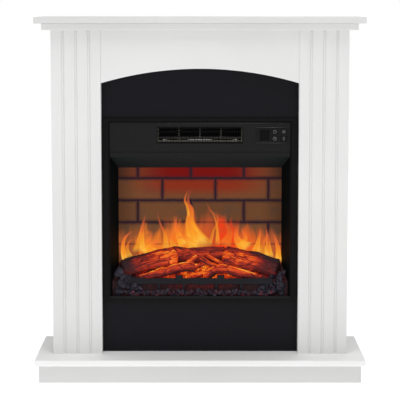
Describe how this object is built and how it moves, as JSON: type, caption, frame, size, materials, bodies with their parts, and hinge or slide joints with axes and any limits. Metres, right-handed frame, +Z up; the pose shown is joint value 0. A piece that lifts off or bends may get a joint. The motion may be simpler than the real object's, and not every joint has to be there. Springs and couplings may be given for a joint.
{
  "type": "electric fireplace",
  "caption": "Free-standing electric fireplace: white fluted surround with an arched opening and a black insert with log fire, fan heater and controls.",
  "frame": {"origin": "middle of the base, on the floor", "axes": "+X to the right as seen from the room, +Y to the wall behind, +Z up; the fire faces -Y"},
  "size_m": [0.8, 0.29, 0.88],
  "materials": {
    "white_paint": "painted MDF, satin white",
    "raw_board": "white melamine-faced board",
    "beech_dowel": "fluted beech",
    "black_panel": "black satin lacquer",
    "black_sheet": "matt black powder coat",
    "zinc_sheet": "galvanised sheet",
    "zinc_screw": "zinc plated",
    "black_frame": "fine black powder coat",
    "grille_black": "black powder coat",
    "control_plastic": "fine-textured black plastic",
    "display_plastic": "smoked gloss",
    "cable_plastic": "black nylon",
    "circuit_board": "green solder mask",
    "brick_screen": "printed diffusing acrylic",
    "ember_resin": "tinted moulding, dusted grey",
    "log_resin": "moulded resin, painted",
    "coal_resin": "moulded resin, charcoal",
    "grate_iron": "matt black",
    "spindle_steel": "ground rod",
    "mirror_foil": "foil",
    "bush_brass": "sintered bronze",
    "wheel_aluminium": "stamped",
    "motor_steel": "laminated",
    "mica_heater": "mica board",
    "cutout_plastic": "phenolic"
  },
  "bodies": {
    "fireplace": {"back_rails": "raw_board", "bed_moulding": "white_paint", "blower_housing": "zinc_sheet", "blower_motor": "motor_steel", "cable_gland": "cable_plastic", "case_back": "zinc_sheet", "case_floor": "black_sheet", "case_screws": "zinc_screw", "case_wrap": "black_sheet", "cheek_left": "black_sheet", "cheek_right": "black_sheet", "coal_ends": "coal_resin", "coal_strip": "coal_resin", "column_left": "white_paint", "column_right": "white_paint", "control_cover": "control_plastic", "corner_brackets": "zinc_sheet", "display_board": "circuit_board", "display_window": "display_plastic", "dowels": "beech_dowel", "ember_bed": "ember_resin", "fascia_panel": "black_panel", "flame_screen": "brick_screen", "flame_template": "zinc_sheet", "frieze_panel": "white_paint", "front_frame": "black_frame", "grate": "grate_iron", "header_panel": "black_frame", "hearth_board": "white_paint", "heater_element": "mica_heater", "hood_baffle": "black_sheet", "insert_shelf": "raw_board", "lamp_boards": "circuit_board", "log_front_left": "log_resin", "log_front_right": "log_resin", "log_left": "log_resin", "log_rear": "log_resin", "log_right": "log_resin", "main_board": "circuit_board", "mantel_shelf": "white_paint", "outlet_grille": "grille_black", "plinth_back": "raw_board", "plinth_ends": "white_paint", "plinth_front": "white_paint", "shaft_bushes": "bush_brass", "shelf_cleats": "raw_board", "side_panel_left": "white_paint", "side_panel_right": "white_paint", "spindle_brackets": "black_sheet", "spindle_motor": "motor_steel", "thermal_cutout": "cutout_plastic", "wood_screws": "zinc_screw"},
    "blower": {"blower_wheel": "wheel_aluminium", "motor_rotor": "motor_steel"},
    "flame_rotor": {"flame_spindle": "spindle_steel", "spindle_flags": "mirror_foil"},
    "power_key": {"key_power": "control_plastic"},
    "heat_key": {"key_heat": "control_plastic"},
    "timer_key": {"key_timer": "control_plastic"},
    "flame_key": {"key_flame": "control_plastic"}
  },
  "joints": [
    {"name": "blower_spin", "type": "hinge", "parent": "fireplace", "child": "blower", "pos_m": [0, 0.048, 0.5935], "axis": [1, 0, 0], "continuous": true},
    {"name": "flame_spin", "type": "hinge", "parent": "fireplace", "child": "flame_rotor", "pos_m": [0, 0.096, 0.2622], "axis": [1, 0, 0], "continuous": true},
    {"name": "power_press", "type": "slide", "parent": "fireplace", "child": "power_key", "axis": [0, 1, 0], "range_m": [0, 0.0008], "stiffness_N_per_m": 400, "springref_m": -0.0005},
    {"name": "heat_press", "type": "slide", "parent": "fireplace", "child": "heat_key", "axis": [0, 1, 0], "range_m": [0, 0.0008], "stiffness_N_per_m": 400, "springref_m": -0.0005},
    {"name": "timer_press", "type": "slide", "parent": "fireplace", "child": "timer_key", "axis": [0, 1, 0], "range_m": [0, 0.0008], "stiffness_N_per_m": 400, "springref_m": -0.0005},
    {"name": "flame_press", "type": "slide", "parent": "fireplace", "child": "flame_key", "axis": [0, 1, 0], "range_m": [0, 0.0008], "stiffness_N_per_m": 400, "springref_m": -0.0005}
  ]
}
